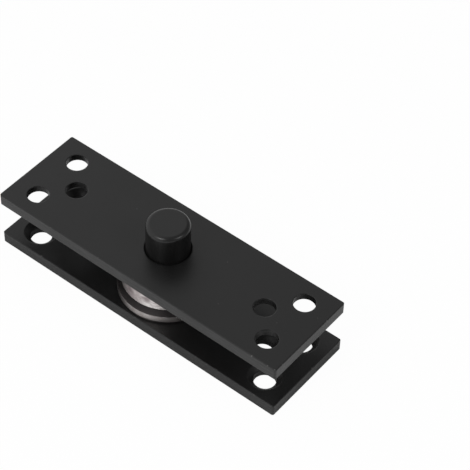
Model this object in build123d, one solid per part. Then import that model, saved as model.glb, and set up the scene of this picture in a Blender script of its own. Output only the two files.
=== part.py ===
from build123d import *
from math import cos, radians, sin, sqrt, tan
import os

# Pivot hinge for the foot of a door, in millimetres. It turns about Z, and the origin lies on
# that axis in the underside of the floor plate. X runs along the plates.

# Plates, both cut from the same bar
plate_length = 130.0
plate_width = 40.0
plate_thickness = 5.0
plate_corner_radius = 0.8
plate_edge_chamfer = 0.15

# Screw holes, three at each end of a plate
screw_hole_diameter = 8.4
screw_head_diameter = 12.8
screw_head_angle = 90.0
end_hole_from_end = 11.0
end_hole_from_side = 9.25
inner_hole_from_end = 20.5

# Pivot pin, one turned piece that is riveted into the floor plate
rivet_diameter = 12.0
rivet_head_diameter = 14.0
rivet_head_height = 1.0
journal_diameter = 17.0
lead_taper_height = 0.75
free_end_diameter = 16.5
free_end_height = 13.0
free_end_round = 1.7

# Washer between the floor plate and the bearing
support_diameter = 38.0
support_height = 3.75
support_chamfer = 0.2

# Tapered roller bearing, with the wide ends of its rollers down
bearing_bore = 15.0
bearing_diameter = 35.0
bearing_height = 11.75
cup_height = 10.0
cup_mouth_diameter = 32.0
cup_angle = 12.95
cone_height = 11.0
cone_rib_diameter = 25.2
cone_lip_diameter = 20.2
bearing_chamfer = 0.5
roller_count = 14
roller_length = 7.4
roller_half_angle = 2.1
roller_above_mouth = 0.5

# Cage of pressed sheet that keeps the rollers apart
cage_thickness = 0.8
cage_outside_pitch = 1.0
cage_rim_length = 1.2
cage_flange_above_windows = 0.25

# Clearances, each measured on one side
running_clearance = 0.05
seat_clearance = 0.02
roller_clearance = 0.02
roller_end_clearance = 0.1
window_clearance = 0.12
cage_lip_clearance = 0.5
door_bore_chamfer = 0.3

# Heights above the underside of the floor plate
support_top = plate_thickness + support_height
cone_top = support_top + cone_height
door_plate_bottom = support_top + bearing_height
cup_mouth = door_plate_bottom - cup_height
door_plate_top = door_plate_bottom + plate_thickness
pin_top = door_plate_top + free_end_height

# Radii that several pieces share
rivet_radius = rivet_diameter / 2
rivet_head_radius = rivet_head_diameter / 2
seat_radius = bearing_bore / 2 - seat_clearance
journal_radius = journal_diameter / 2
turning_bore_radius = journal_radius + running_clearance

# Both raceways and the axis of every roller meet in one point above the bearing, so the rollers
# roll without slip. Distances along a roller are counted down from that point.
roller_lean = cup_angle - roller_half_angle
meeting_height = cup_mouth + cup_mouth_diameter / 2 / tan(radians(cup_angle))
roller_wide_end = (meeting_height - cup_mouth - roller_above_mouth) / cos(radians(roller_lean))
roller_narrow_end = roller_wide_end - roller_length


def roller_radius(along):
    """Radius of a roller at a distance along its axis."""
    return along * tan(radians(roller_half_angle))


def beside_roller(along, out):
    """Radius and height of a point: along the axis of a roller, and out from it at a right angle."""
    lean = radians(roller_lean)
    return (along * sin(lean) + out * cos(lean), meeting_height - along * cos(lean) + out * sin(lean))


def beside_roller_end(along, radius):
    """The point at a given radius on the line that crosses the axis of a roller at a right angle."""
    lean = radians(roller_lean)
    return beside_roller(along, (radius - along * sin(lean)) / cos(lean))


def cage_radius(height, out):
    """Radius at a given height of a line beside the axis of a roller."""
    lean = radians(roller_lean)
    return (meeting_height - height) * tan(lean) + out / cos(lean)


def turned(*corners):
    """A solid of revolution about Z from the corners of half its section."""
    with BuildPart() as piece:
        with BuildSketch(Plane.XZ):
            with BuildLine():
                Polyline(*corners, close=True)
            make_face()
        revolve(axis=Axis.Z)
    return piece.part


def screw_hole():
    """The space of a through hole with a countersink at the top of a plate."""
    hole_radius = screw_hole_diameter / 2
    head_radius = screw_head_diameter / 2
    head_depth = (head_radius - hole_radius) / tan(radians(screw_head_angle / 2))
    return turned(
        (0, 0),
        (hole_radius, 0),
        (hole_radius, plate_thickness - head_depth),
        (head_radius, plate_thickness),
        (0, plate_thickness),
    )


def screw_plate():
    """A plate with its underside at height zero and its countersinks on top."""
    end_holes = GridLocations(
        plate_length - 2 * end_hole_from_end, plate_width - 2 * end_hole_from_side, 2, 2
    )
    inner_holes = GridLocations(plate_length - 2 * inner_hole_from_end, 0, 2, 1)
    with BuildPart() as plate:
        Box(
            plate_length,
            plate_width,
            plate_thickness,
            align=(Align.CENTER, Align.CENTER, Align.MIN),
        )
        fillet(plate.edges().filter_by(Axis.Z), plate_corner_radius)
        for face in (plate.faces().sort_by(Axis.Z)[0], plate.faces().sort_by(Axis.Z)[-1]):
            chamfer(face.outer_wire().edges(), plate_edge_chamfer)
        with Locations(end_holes.locations + inner_holes.locations):
            add(screw_hole(), mode=Mode.SUBTRACT)
    return plate.part


def floor_plate():
    """Lies on the floor, with the countersinks up and the rivet hole of the pin in the middle."""
    rivet_hole = turned(
        (0, 0),
        (rivet_head_radius + seat_clearance, 0),
        (rivet_radius + seat_clearance, rivet_head_height),
        (rivet_radius + seat_clearance, plate_thickness),
        (0, plate_thickness),
    )
    return screw_plate() - rivet_hole


def door_plate():
    """The same plate turned over, so that its screws go up into the door, with the bore for the pin."""
    bore = turned(
        (0, door_plate_bottom),
        (turning_bore_radius + door_bore_chamfer, door_plate_bottom),
        (turning_bore_radius, door_plate_bottom + door_bore_chamfer),
        (turning_bore_radius, door_plate_top - door_bore_chamfer),
        (turning_bore_radius + door_bore_chamfer, door_plate_top),
        (0, door_plate_top),
    )
    return Pos(0, 0, door_plate_top) * Rot(180, 0, 0) * screw_plate() - bore


def pivot_pin():
    """Rivet, seat that the bearing is clamped on, journal, taper for the door plate, and free end."""
    free_end_radius = free_end_diameter / 2
    pin = turned(
        (0, 0),
        (rivet_head_radius, 0),
        (rivet_radius, rivet_head_height),
        (rivet_radius, plate_thickness),
        (seat_radius, plate_thickness),
        (seat_radius, cone_top),
        (journal_radius, cone_top),
        (journal_radius, door_plate_top - lead_taper_height),
        (free_end_radius, door_plate_top),
        (free_end_radius, pin_top),
        (0, pin_top),
    )
    return fillet(pin.faces().sort_by(Axis.Z)[-1].edges(), free_end_round)


def support_washer():
    """Turned washer that lifts the bearing off the floor plate."""
    bore_radius = bearing_bore / 2
    outer_radius = support_diameter / 2
    return turned(
        (bore_radius, plate_thickness),
        (outer_radius - support_chamfer, plate_thickness),
        (outer_radius, plate_thickness + support_chamfer),
        (outer_radius, support_top - support_chamfer),
        (outer_radius - support_chamfer, support_top),
        (bore_radius, support_top),
    )


def bearing_cone():
    """Inner ring, clamped between the washer and the journal: wide rib, raceway and narrow lip."""
    bore_radius = bearing_bore / 2
    rib_radius = cone_rib_diameter / 2
    lip_radius = cone_lip_diameter / 2
    raceway_wide_end = roller_wide_end + roller_end_clearance
    raceway_narrow_end = roller_narrow_end - roller_end_clearance
    return turned(
        (bore_radius, support_top + bearing_chamfer),
        (bore_radius + bearing_chamfer, support_top),
        (rib_radius, support_top),
        beside_roller_end(raceway_wide_end, rib_radius),
        beside_roller(raceway_wide_end, -roller_radius(raceway_wide_end) - roller_clearance),
        beside_roller(raceway_narrow_end, -roller_radius(raceway_narrow_end) - roller_clearance),
        beside_roller_end(raceway_narrow_end, lip_radius),
        (lip_radius, cone_top),
        (bore_radius, cone_top),
    )


def bearing_cup():
    """Outer ring that turns with the door plate, which rests on its thick end."""
    outer_radius = bearing_diameter / 2
    mouth_radius = cup_mouth_diameter / 2 + roller_clearance
    return turned(
        (mouth_radius, cup_mouth),
        (outer_radius - bearing_chamfer, cup_mouth),
        (outer_radius, cup_mouth + bearing_chamfer),
        (outer_radius, door_plate_bottom - bearing_chamfer),
        (outer_radius - bearing_chamfer, door_plate_bottom),
        (mouth_radius - cup_height * tan(radians(cup_angle)), door_plate_bottom),
    )


def roller_cage():
    """Tapered sheet ring just outside the axes of the rollers, flanged in flat over their narrow ends."""
    sheet_inside = cage_outside_pitch
    sheet_outside = cage_outside_pitch + cage_thickness
    window_wide_end = roller_wide_end + window_clearance
    window_narrow_end = roller_narrow_end - window_clearance
    flange_underside = beside_roller(window_narrow_end, sheet_outside)[1] + cage_flange_above_windows
    flange_top = flange_underside + cage_thickness
    rim_end = beside_roller(window_wide_end, sheet_inside)[1] - cage_rim_length
    flange_radius = cone_lip_diameter / 2 + cage_lip_clearance
    ring = turned(
        (cage_radius(rim_end, sheet_inside), rim_end),
        (cage_radius(rim_end, sheet_outside), rim_end),
        (cage_radius(flange_top, sheet_outside), flange_top),
        (flange_radius, flange_top),
        (flange_radius, flange_underside),
        (cage_radius(flange_underside, sheet_inside), flange_underside),
    )

    def half_width(along):
        return sqrt(roller_radius(along) ** 2 - sheet_inside**2) + window_clearance

    with BuildPart() as window:
        with BuildSketch(roller_plane(window_wide_end, radial=True)):
            with BuildLine():
                Polyline(
                    (-half_width(window_wide_end), 0),
                    (half_width(window_wide_end), 0),
                    (half_width(window_narrow_end), window_wide_end - window_narrow_end),
                    (-half_width(window_narrow_end), window_wide_end - window_narrow_end),
                    close=True,
                )
            make_face()
        extrude(amount=2 * sheet_outside)
    for turn in roller_turns():
        ring -= turn * window.part
    return ring


def roller_plane(along, radial):
    """Plane at a distance along the first roller: facing out from its axis, or up along it."""
    radius, height = beside_roller(along, 0)
    lean = radians(roller_lean)
    facing = (cos(lean), 0, sin(lean)) if radial else (-sin(lean), 0, cos(lean))
    return Plane(origin=(radius, 0, height), x_dir=(0, 1, 0), z_dir=facing)


def roller_turns():
    """The turns about Z that carry the first roller to each place in the cage."""
    return [Rot(0, 0, number * 360 / roller_count) for number in range(roller_count)]


def rollers():
    """One tapered roller for each window of the cage. Its side is drawn as a curve of two points,
    which keeps it light when it is divided into facets."""
    wide_radius = roller_radius(roller_wide_end)
    narrow_radius = roller_radius(roller_narrow_end)
    with BuildPart() as upright:
        with BuildSketch(Plane.XZ):
            with BuildLine():
                Polyline((narrow_radius, roller_length), (0, roller_length), (0, 0), (wide_radius, 0))
                Bezier((wide_radius, 0), (narrow_radius, roller_length))
            make_face()
        revolve(axis=Axis.Z)
    leaning = roller_plane(roller_wide_end, radial=False).location * upright.part
    return [turn * leaning for turn in roller_turns()]


os.makedirs("parts", exist_ok=True)
export_step(floor_plate(), "parts/floor_plate.step")
export_step(pivot_pin(), "parts/pivot_pin.step")
export_step(support_washer(), "parts/support_washer.step")
export_step(bearing_cone(), "parts/bearing_cone.step")
export_step(roller_cage(), "parts/roller_cage.step")
for number, roller in enumerate(rollers(), start=1):
    export_step(roller, f"parts/roller_{number:02d}.step")
export_step(bearing_cup(), "parts/bearing_cup.step")
export_step(door_plate(), "parts/door_plate.step")
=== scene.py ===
import math

import bpy
from mathutils import Matrix, Vector


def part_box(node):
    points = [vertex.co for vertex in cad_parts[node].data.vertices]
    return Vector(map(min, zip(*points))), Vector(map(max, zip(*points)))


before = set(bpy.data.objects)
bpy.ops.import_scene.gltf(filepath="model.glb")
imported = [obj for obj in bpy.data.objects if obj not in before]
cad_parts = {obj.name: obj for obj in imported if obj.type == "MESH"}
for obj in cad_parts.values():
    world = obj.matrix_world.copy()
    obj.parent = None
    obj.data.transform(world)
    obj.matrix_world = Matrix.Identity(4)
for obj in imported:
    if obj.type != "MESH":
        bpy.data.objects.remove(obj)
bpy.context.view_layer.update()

# Floor plate: 130 mm of 40 x 5 mm flat steel bar that lies on the floor and carries all the rest.
# It is sawn off, drilled and countersunk for six screws, and powder coated with the pin in it.
# The coat is an even satin black with a fine grain. It is thin on the edges, and dust lies on it.
coat_black = (0.006, 0.006, 0.006, 1.0)
coat_roughness = (0.37, 0.43)
coat_specular = 0.43
coat_patch_size = 0.018
coat_patch_share = (0.3, 0.7)
coat_edge_round = 0.0006
coat_edge_samples = 8
grain_size = 0.0004
grain_depth = 0.000006
rolling_mark_size = (0.006, 0.0012, 0.0012)
rolling_mark_depth = 0.00012
upright_facing = (0.6, 0.3)
worn_steel = (0.16, 0.155, 0.15, 1.0)
worn_edge_width = 0.00025
worn_spot_size = 0.0022
worn_spot_share = (0.66, 0.72)
dust_grey = (0.075, 0.075, 0.075, 1.0)
dust_spacing = 0.0105
dust_reach = 0.00016
dust_rarity_of_large = 3.0
level_facing = (0.9, 1.0)


def new_finish(name):
    """A new material, with its node tree and its own shader."""
    material = bpy.data.materials.new(name)
    material.use_nodes = True
    return material, material.node_tree, material.node_tree.nodes["Principled BSDF"]


def place_on(tree):
    """Where a point lies on the hinge, in metres."""
    return tree.nodes.new("ShaderNodeTexCoord").outputs["Object"]


def clouds(tree, place, size, detail=2.0):
    """Soft irregular clouds from 0 to 1, as large along each axis as size says."""
    scaled = tree.nodes.new("ShaderNodeVectorMath")
    scaled.operation = "DIVIDE"
    scaled.inputs[1].default_value = size
    tree.links.new(place, scaled.inputs[0])
    noise = tree.nodes.new("ShaderNodeTexNoise")
    noise.inputs["Scale"].default_value = 1.0
    noise.inputs["Detail"].default_value = detail
    tree.links.new(scaled.outputs[0], noise.inputs["Vector"])
    return noise.outputs["Fac"]


def ramp(tree, value, start, end, low=0.0, high=1.0):
    """Low where the value is at its start, high where it is at its end, and smooth between them."""
    node = tree.nodes.new("ShaderNodeMapRange")
    node.interpolation_type = "SMOOTHSTEP"
    node.inputs["From Min"].default_value = start
    node.inputs["From Max"].default_value = end
    node.inputs["To Min"].default_value = low
    node.inputs["To Max"].default_value = high
    tree.links.new(value, node.inputs["Value"])
    return node.outputs["Result"]


def reckon(tree, operation, first, second):
    """One number from two, of which the second may be plain."""
    node = tree.nodes.new("ShaderNodeMath")
    node.operation = operation
    tree.links.new(first, node.inputs[0])
    if isinstance(second, float):
        node.inputs[1].default_value = second
    else:
        tree.links.new(second, node.inputs[1])
    return node.outputs[0]


def tint(tree, share, start, end):
    """A colour that goes from start to end as the share goes from 0 to 1."""
    node = tree.nodes.new("ShaderNodeMix")
    node.data_type = "RGBA"
    for slot, colour in (("A", start), ("B", end)):
        socket = next(s for s in node.inputs if s.name == slot and s.type == "RGBA")
        if isinstance(colour, tuple):
            socket.default_value = colour
        else:
            tree.links.new(colour, socket)
    tree.links.new(share, node.inputs["Factor"])
    return next(s for s in node.outputs if s.type == "RGBA")


def soft_edges(tree):
    """The surface as a coat leaves it, which runs softly over every edge."""
    edge = tree.nodes.new("ShaderNodeBevel")
    edge.samples = coat_edge_samples
    edge.inputs["Radius"].default_value = coat_edge_round
    return edge.outputs["Normal"]


def relief(tree, heights, shader, normal=None):
    """Raises the surface by each (height, depth) pair in turn, from its own normal or a given one."""
    for height, depth in heights:
        bump = tree.nodes.new("ShaderNodeBump")
        bump.inputs["Distance"].default_value = depth
        tree.links.new(height, bump.inputs["Height"])
        if normal:
            tree.links.new(normal, bump.inputs["Normal"])
        normal = bump.outputs["Normal"]
    tree.links.new(normal, shader.inputs["Normal"])


def split(tree, vector):
    """The three numbers of a vector."""
    node = tree.nodes.new("ShaderNodeSeparateXYZ")
    tree.links.new(vector, node.inputs["Vector"])
    return node.outputs


def levelness(tree):
    """How far a surface faces up or down: 0 where it stands upright, 1 where it lies level."""
    normal = tree.nodes.new("ShaderNodeNewGeometry").outputs["Normal"]
    return reckon(tree, "ABSOLUTE", split(tree, normal)["Z"], 0.0)


def dust(tree, place):
    """Specks of dust of several sizes, scattered over whatever lies level."""
    specks = tree.nodes.new("ShaderNodeTexVoronoi")
    specks.voronoi_dimensions = "2D"
    specks.inputs["Scale"].default_value = 1 / dust_spacing
    tree.links.new(place, specks.inputs["Vector"])
    chance = split(tree, specks.outputs["Color"])["X"]
    own_size = reckon(tree, "POWER", chance, dust_rarity_of_large)
    reach = reckon(tree, "MULTIPLY", own_size, dust_reach / dust_spacing)
    inside = reckon(tree, "LESS_THAN", specks.outputs["Distance"], reach)
    return reckon(tree, "MULTIPLY", inside, ramp(tree, levelness(tree), *level_facing))


def worn_edges(tree, place, node):
    """Small spots along the long and short edges of a plate where its coat is thin."""
    low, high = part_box(node)
    near = []
    for axis in range(3):
        middle = (low[axis] + high[axis]) / 2
        half = (high[axis] - low[axis]) / 2
        off_middle = reckon(tree, "ADD", split(tree, place)[axis], -middle)
        distance = reckon(tree, "ABSOLUTE", off_middle, 0.0)
        near.append(ramp(tree, distance, half - 2 * worn_edge_width, half - worn_edge_width))
    along_x = reckon(tree, "MULTIPLY", near[1], near[2])
    along_y = reckon(tree, "MULTIPLY", near[0], near[2])
    upright = reckon(tree, "MULTIPLY", near[0], near[1])
    edges = reckon(tree, "MAXIMUM", reckon(tree, "MAXIMUM", along_x, along_y), upright)
    spots = ramp(tree, clouds(tree, place, [worn_spot_size] * 3), *worn_spot_share)
    return reckon(tree, "MULTIPLY", edges, spots)


def plate_finish(node):
    """Satin black coat over rolled bar, whose long sides keep faint lengthwise marks."""
    material, tree, coat = new_finish(node + "_coat")
    place = place_on(tree)
    dusty = tint(tree, dust(tree, place), coat_black, dust_grey)
    colour = tint(tree, worn_edges(tree, place, node), dusty, worn_steel)
    tree.links.new(colour, coat.inputs["Base Color"])
    patches = clouds(tree, place, [coat_patch_size] * 3)
    gloss = ramp(tree, patches, *coat_patch_share, *coat_roughness)
    tree.links.new(gloss, coat.inputs["Roughness"])
    coat.inputs["Specular IOR Level"].default_value = coat_specular
    grain = clouds(tree, place, [grain_size] * 3)
    on_sides = ramp(tree, levelness(tree), *upright_facing)
    marks = reckon(tree, "MULTIPLY", clouds(tree, place, rolling_mark_size), on_sides)
    relief(tree, [(grain, grain_depth), (marks, rolling_mark_depth)], coat, soft_edges(tree))
    return material


def dress(nodes, material):
    """Gives nodes of the frame their finish."""
    for node in nodes:
        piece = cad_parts[node]
        piece.data.materials.clear()
        piece.data.materials.append(material)


dress(["floor_plate"], plate_finish("floor_plate"))

# Pivot pin: one turned piece of steel, riveted into the floor plate from below.
# It is coated with the plate, so only faint rings from the lathe show through the black.
ring_pitch = 0.00035
ring_depth = 0.000004
ring_detail = 1.0
pin_roughness = (0.28, 0.33)
pin_patch_size = coat_patch_size / 3


def rings(tree, place, pitch, detail):
    """Fine rings about Z on the sides and the faces of a turned piece, about a pitch apart."""
    x, y, z = split(tree, place).values()
    level = tree.nodes.new("ShaderNodeCombineXYZ")
    tree.links.new(x, level.inputs["X"])
    tree.links.new(y, level.inputs["Y"])
    radius = tree.nodes.new("ShaderNodeVectorMath")
    radius.operation = "LENGTH"
    tree.links.new(level.outputs[0], radius.inputs[0])
    section = tree.nodes.new("ShaderNodeCombineXYZ")
    tree.links.new(radius.outputs["Value"], section.inputs["X"])
    tree.links.new(z, section.inputs["Z"])
    return clouds(tree, section.outputs[0], [pitch, 1.0, pitch], detail)


def pin_finish():
    """The same black coat as on the plates, smoother and with the marks of the lathe under it."""
    material, tree, coat = new_finish("pin_coat")
    place = place_on(tree)
    coat.inputs["Base Color"].default_value = coat_black
    patches = clouds(tree, place, [pin_patch_size] * 3)
    gloss = ramp(tree, patches, *coat_patch_share, *pin_roughness)
    tree.links.new(gloss, coat.inputs["Roughness"])
    coat.inputs["Specular IOR Level"].default_value = coat_specular
    grain = clouds(tree, place, [grain_size] * 3)
    lathe_marks = rings(tree, place, ring_pitch, ring_detail)
    relief(tree, [(grain, grain_depth), (lathe_marks, ring_depth)], coat)
    return material


dress(["pivot_pin"], pin_finish())

# Support washer: turned steel, left bright on its rim, where fine tool marks run round it.
# Its level faces are dark. Its foot and a patch at its front left carry painted shade. The pin holds it
# down.
rim_tint = (0.55, 0.52, 0.51, 1.0)
rim_tint_dull = (0.42, 0.38, 0.365, 1.0)
rim_roughness = (0.33, 0.39)
rim_stretch = 0.8
quarter_turn = 0.25
tool_mark_pitch = 0.00022
tool_mark_depth = 0.00002
tool_mark_detail = 2.0
stain_size = 0.0024
stain_detail = 4.0
stain_share = (0.35, 0.7)
# The dark colour of the level faces also paints shade on the foot and on the front left of the rim.
face_and_painted_shade_dark = (0.085, 0.078, 0.078, 1.0)
face_roughness = 0.7
face_facing = (0.4, 0.7)
painted_shade_foot_heights = (0.0007, 0.0012)
rim_painted_shade_azimuth = math.radians(-140)
rim_painted_shade_level = 0.5
rim_painted_shade_reach = (0.002, 0.0245)
rim_painted_shade_strength = 0.85


def side_patch(tree, place, node, azimuth, level, reach, strength):
    """A soft patch on the side of a round node, at a share of its height, and 0 past its reach."""
    low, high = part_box(node)
    radius = float(high[0])
    height = float(low[2] + (high[2] - low[2]) * level)
    distance = tree.nodes.new("ShaderNodeVectorMath")
    distance.operation = "DISTANCE"
    centre = (radius * math.cos(azimuth), radius * math.sin(azimuth), height)
    distance.inputs[1].default_value = centre
    tree.links.new(place, distance.inputs[0])
    return ramp(tree, distance.outputs["Value"], *reach, strength, 0.0)


def washer_finish():
    """Bright steel whose marks run round it, so that its gloss is drawn out up and down the rim."""
    material, tree, steel = new_finish("turned_steel")
    steel.inputs["Metallic"].default_value = 1.0
    steel.inputs["Anisotropic"].default_value = rim_stretch
    steel.inputs["Anisotropic Rotation"].default_value = quarter_turn
    round_it = tree.nodes.new("ShaderNodeTangent")
    round_it.direction_type = "RADIAL"
    round_it.axis = "Z"
    tree.links.new(round_it.outputs["Tangent"], steel.inputs["Tangent"])
    place = place_on(tree)
    stains = ramp(tree, clouds(tree, place, [stain_size] * 3, stain_detail), *stain_share)
    rim = tint(tree, stains, rim_tint, rim_tint_dull)
    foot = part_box("support_washer")[0][2]
    above_foot = reckon(tree, "ADD", split(tree, place)["Z"], -foot)
    # Painted contact shade: the rim darkens towards its foot.
    painted_foot_shade = ramp(tree, above_foot, *painted_shade_foot_heights, 1.0, 0.0)
    on_faces = ramp(tree, levelness(tree), *face_facing)
    # Painted shade: a soft dark patch at the front left of the rim.
    oil_and_painted_shade = side_patch(tree, place, "support_washer", rim_painted_shade_azimuth, rim_painted_shade_level, rim_painted_shade_reach, rim_painted_shade_strength)
    dark_faces_and_painted_shade = reckon(tree, "MAXIMUM", reckon(tree, "MAXIMUM", on_faces, painted_foot_shade), oil_and_painted_shade)
    tree.links.new(tint(tree, dark_faces_and_painted_shade, rim, face_and_painted_shade_dark), steel.inputs["Base Color"])
    dull = ramp(tree, stains, 0.0, 1.0, *rim_roughness)
    face_share = reckon(tree, "MULTIPLY", on_faces, face_roughness)
    tree.links.new(reckon(tree, "MAXIMUM", dull, face_share), steel.inputs["Roughness"])
    marks = rings(tree, place, tool_mark_pitch, tool_mark_detail)
    relief(tree, [(marks, tool_mark_depth)], steel)
    return material


dress(["support_washer"], washer_finish())

# Bearing cone: the inner ring of a tapered roller bearing, of through-hardened steel.
# The pin's journal clamps it on the washer. Its raceway is ground, with marks too fine to feel.
ground_tint = (0.63, 0.6, 0.59, 1.0)
ground_tint_dull = (0.5, 0.47, 0.46, 1.0)
ground_roughness = (0.2, 0.28)
grinding_pitch = 0.00012
grinding_depth = 0.000002
grinding_detail = 1.0
old_oil_detail = 3.0
old_oil_share = (0.35, 0.7)
cone_oil_size = 0.005


def ground_finish(name, oil_size):
    """Ground steel, cloudy where oil has lain on it."""
    material, tree, steel = new_finish(name)
    steel.inputs["Metallic"].default_value = 1.0
    place = place_on(tree)
    oil_and_painted_shade = ramp(tree, clouds(tree, place, [oil_size] * 3, old_oil_detail), *old_oil_share)
    tree.links.new(tint(tree, oil_and_painted_shade, ground_tint, ground_tint_dull), steel.inputs["Base Color"])
    tree.links.new(ramp(tree, oil_and_painted_shade, 0.0, 1.0, *ground_roughness), steel.inputs["Roughness"])
    marks = rings(tree, place, grinding_pitch, grinding_detail)
    relief(tree, [(marks, grinding_depth)], steel)
    return material


dress(["bearing_cone"], ground_finish("ground_cone", cone_oil_size))

# Roller cage: sheet steel, pressed to a taper and pierced with a window for each roller.
# It is left as it comes off the press, so it is duller and a little browner than the rings.
cage_tint = (0.36, 0.33, 0.3, 1.0)
cage_tint_dull = (0.22, 0.2, 0.18, 1.0)
cage_roughness = (0.38, 0.55)
cage_patch_size = 0.0025
cage_patch_detail = 4.0
cage_patch_share = (0.3, 0.7)
cage_ripple_size = 0.0012
cage_ripple_depth = 0.00003


def cage_finish():
    """Patchy bare sheet, a little rippled by the press."""
    material, tree, steel = new_finish("pressed_sheet")
    steel.inputs["Metallic"].default_value = 1.0
    place = place_on(tree)
    patchy = clouds(tree, place, [cage_patch_size] * 3, cage_patch_detail)
    patches = ramp(tree, patchy, *cage_patch_share)
    tree.links.new(tint(tree, patches, cage_tint, cage_tint_dull), steel.inputs["Base Color"])
    tree.links.new(ramp(tree, patches, 0.0, 1.0, *cage_roughness), steel.inputs["Roughness"])
    relief(tree, [(clouds(tree, place, [cage_ripple_size] * 3), cage_ripple_depth)], steel)
    return material


dress(["roller_cage"], cage_finish())

# Rollers: one tapered roller for each window of the cage, of the same steel as the rings.
# They are ground like the cone, with smaller clouds of oil. The cage holds them apart.
roller_oil_size = 0.002
rollers = [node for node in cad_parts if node.startswith("roller_") and node != "roller_cage"]

dress(rollers, ground_finish("ground_rollers", roller_oil_size))

# Bearing cup: the outer ring, which turns with the door plate on its thick end.
# Its outside is ground as well, but handled, so it is satin, and streaked and spotted
# with old oil. A mottled patch of painted shade darkens and dulls its front left.
cup_tint = (0.9, 0.865, 0.85, 1.0)
cup_tint_dull = (0.45, 0.395, 0.393, 1.0)
cup_roughness = (0.28, 0.4)
cup_streak_size = (0.0035, 0.0035, 0.0016)
cup_streak_detail = 5.0
cup_streak_share = (0.36, 0.72)
# A patch of painted shade, darker and duller, at the front left of the cup.
cup_painted_shade_azimuth = math.radians(-100)
cup_painted_shade_level = 0.4
cup_painted_shade_reach = (0.003, 0.0085)
cup_painted_shade_strength = 1.0
mottle_size = 0.0016
mottle_detail = 3.0
mottle_share = (0.3, 0.62)
mottle_least = 0.75
spot_tint = (0.25, 0.205, 0.21, 1.0)
spot_azimuths = (math.radians(-102), math.radians(-76))
spot_level = 0.42
spot_reach = (0.0004, 0.0027)
spot_strength = 0.85
cup_speckle_size = 0.0007
cup_speckle_depth = 0.000006


def cup_finish():
    """Ground steel with streaks all round, a mottled patch of painted shade at the front left, and two
    spots at the front.
    """
    material, tree, steel = new_finish("ground_cup")
    steel.inputs["Metallic"].default_value = 1.0
    place = place_on(tree)
    streaky = clouds(tree, place, cup_streak_size, cup_streak_detail)
    streaks = ramp(tree, streaky, *cup_streak_share)
    # Painted shade: the patch at the front left, mottled.
    painted_shade_patch = side_patch(
        tree, place, "bearing_cup", cup_painted_shade_azimuth, cup_painted_shade_level, cup_painted_shade_reach, cup_painted_shade_strength
    )
    mottled = clouds(tree, place, [mottle_size] * 3, mottle_detail)
    mottle = ramp(tree, mottled, *mottle_share, mottle_least, 1.0)
    dull = reckon(tree, "MAXIMUM", streaks, reckon(tree, "MULTIPLY", painted_shade_patch, mottle))
    colour = tint(tree, dull, cup_tint, cup_tint_dull)
    left_spot, right_spot = (
        side_patch(tree, place, "bearing_cup", azimuth, spot_level, spot_reach, spot_strength)
        for azimuth in spot_azimuths
    )
    spotted = tint(tree, reckon(tree, "MAXIMUM", left_spot, right_spot), colour, spot_tint)
    tree.links.new(spotted, steel.inputs["Base Color"])
    tree.links.new(ramp(tree, dull, 0.0, 1.0, *cup_roughness), steel.inputs["Roughness"])
    marks = rings(tree, place, grinding_pitch, grinding_detail)
    speckles = clouds(tree, place, [cup_speckle_size] * 3)
    relief(tree, [(marks, grinding_depth), (speckles, cup_speckle_depth)], steel)
    return material


dress(["bearing_cup"], cup_finish())

# Door plate: the same bar as the floor plate, turned over, with the bore for the pin in its middle.
# It is screwed up into the foot of the door, and rests on the cup.
dress(["door_plate"], plate_finish("door_plate"))

# Floor: plain white card that reaches past every view.
# It shows as white to the camera, and keeps a faint soft shadow of the hinge. In reflections it glows
# less, and beside the floor plate not at all, as a painted shadow.
floor_reach = 6.0
floor_paint = (0.95, 0.95, 0.95, 1.0)
floor_glow = (1.0, 1.0, 1.0, 1.0)
glow_share_seen = 0.97
# Beside the floor plate, reflections see no glow: a painted shadow.
glow_share_in_painted_shadow = 0.0
glow_share_reflected = 0.42
painted_shadow_reach = (0.002, 0.009)


def off_plate(tree, place):
    """How far a point of the floor lies from the sides of the floor plate, in metres."""
    off_sides = []
    for axis, half in enumerate(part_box("floor_plate")[1][:2]):
        off_middle = reckon(tree, "ABSOLUTE", split(tree, place)[axis], 0.0)
        off_sides.append(reckon(tree, "SUBTRACT", off_middle, float(half)))
    return reckon(tree, "MAXIMUM", *off_sides)


def floor_finish():
    """White card that glows plain white for the camera, and less in reflections, with a painted shadow
    beside the plate.
    """
    material, tree, shader = new_finish("floor_card")
    material.cycles.emission_sampling = "NONE"
    tree.nodes.remove(shader)
    paint = tree.nodes.new("ShaderNodeBsdfDiffuse")
    paint.inputs["Color"].default_value = floor_paint
    glow = tree.nodes.new("ShaderNodeEmission")
    glow.inputs["Color"].default_value = floor_glow
    rays = tree.nodes.new("ShaderNodeLightPath").outputs
    seen = reckon(tree, "MAXIMUM", rays["Is Camera Ray"], rays["Is Transmission Ray"])
    seen_share = reckon(tree, "MULTIPLY", seen, glow_share_seen)
    off_hinge = off_plate(tree, place_on(tree))
    # Painted shadow: the glow in reflections fades to none beside the floor plate.
    reflected_glow_with_painted_shadow = ramp(tree, off_hinge, *painted_shadow_reach, glow_share_in_painted_shadow, glow_share_reflected)
    reflected_share = reckon(tree, "MULTIPLY", rays["Is Glossy Ray"], reflected_glow_with_painted_shadow)
    mix = tree.nodes.new("ShaderNodeMixShader")
    tree.links.new(reckon(tree, "MAXIMUM", seen_share, reflected_share), mix.inputs["Fac"])
    tree.links.new(paint.outputs[0], mix.inputs[1])
    tree.links.new(glow.outputs[0], mix.inputs[2])
    tree.links.new(mix.outputs[0], tree.nodes["Material Output"].inputs["Surface"])
    return material


card = bpy.data.meshes.new("floor")
corners = [(-1, -1, 0), (1, -1, 0), (1, 1, 0), (-1, 1, 0)]
card.from_pydata([Vector(corner) * floor_reach for corner in corners], [], [(0, 1, 2, 3)])
card.materials.append(floor_finish())
floor = bpy.data.objects.new("floor", card)
bpy.context.scene.collection.objects.link(floor)

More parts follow.
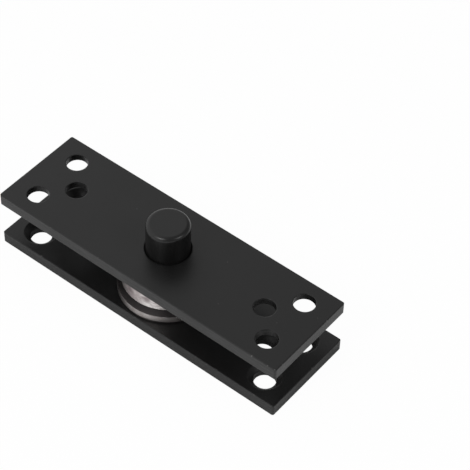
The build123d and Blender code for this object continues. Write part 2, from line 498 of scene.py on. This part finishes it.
# Surroundings: a white room, which is bright at the left of the hinge and dim at its right.
# It shows as white wherever the camera sees it.
room_white = (1.0, 1.0, 1.0, 1.0)
room_dim_side = (0.94, 0.34, 0.0)
room_bright = 0.96
room_dim = 0.32
room_bright_until = -0.5
room_dim_from = 0.2


def room():
    """A world that lights the hinge by direction, and is plain white to the camera."""
    world = bpy.data.worlds.new("room")
    world.use_nodes = True
    tree = world.node_tree
    background = tree.nodes["Background"]
    background.inputs["Color"].default_value = room_white
    dimness = tree.nodes.new("ShaderNodeVectorMath")
    dimness.operation = "DOT_PRODUCT"
    dimness.inputs[1].default_value = room_dim_side
    tree.links.new(tree.nodes.new("ShaderNodeTexCoord").outputs["Generated"], dimness.inputs[0])
    on_hinge = ramp(
        tree, dimness.outputs["Value"], room_bright_until, room_dim_from, room_bright, room_dim
    )
    seen = tree.nodes.new("ShaderNodeLightPath").outputs["Is Camera Ray"]
    strength = tree.nodes.new("ShaderNodeMix")
    tree.links.new(seen, strength.inputs["Factor"])
    tree.links.new(on_hinge, strength.inputs["A"])
    strength.inputs["B"].default_value = 1.0
    tree.links.new(strength.outputs["Result"], background.inputs["Strength"])
    return world


bpy.context.scene.world = room()
bpy.context.scene.view_settings.view_transform = "Standard"

# Lamps: two square soft boxes, one at each side of the camera, the left one the stronger.
# Each puts a bright spot on the round of the pin and a sheen on the steel below.
pin_top = Vector((0, 0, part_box("pivot_pin")[1][2]))
lamp_distance = 0.6
lamp_width = 0.18


def soft_box(name, azimuth, from_overhead, watts):
    """A lamp that looks at the top of the pin: its angles round it and from overhead, in degrees."""
    light = bpy.data.lights.new(name, "AREA")
    light.size = lamp_width
    light.energy = watts
    lamp = bpy.data.objects.new(name, light)
    turn = Matrix.Rotation(math.radians(azimuth), 4, "Z")
    tilt = Matrix.Rotation(math.radians(from_overhead), 4, "Y")
    back_off = Matrix.Translation((0, 0, lamp_distance))
    lamp.matrix_world = Matrix.Translation(pin_top) @ turn @ tilt @ back_off
    bpy.context.scene.collection.objects.link(lamp)


soft_box("left_soft_box", azimuth=-90, from_overhead=46, watts=0.8)
soft_box("right_soft_box", azimuth=8, from_overhead=50, watts=0.48)

# Camera: looks down on the hinge from beyond its front right corner, through a long lens.
# Its place, aim and roll are fitted to the edges and holes of the two plates.
camera_place = Vector((0.2986, -0.3511, 0.5382))
camera_aim = Vector((0.0077, 0.0295, 0.01275))
camera_roll = math.radians(1.91)
camera_lens = 145.63
camera_sensor = 36.0
nearest_seen = 0.01

lens = bpy.data.cameras.new("camera")
lens.lens = camera_lens
lens.sensor_width = camera_sensor
lens.clip_start = nearest_seen
camera = bpy.data.objects.new("camera", lens)
look = (camera_aim - camera_place).to_track_quat("-Z", "Y").to_matrix().to_4x4()
camera.matrix_world = Matrix.Translation(camera_place) @ look @ Matrix.Rotation(camera_roll, 4, "Z")
bpy.context.scene.collection.objects.link(camera)
bpy.context.scene.camera = camera
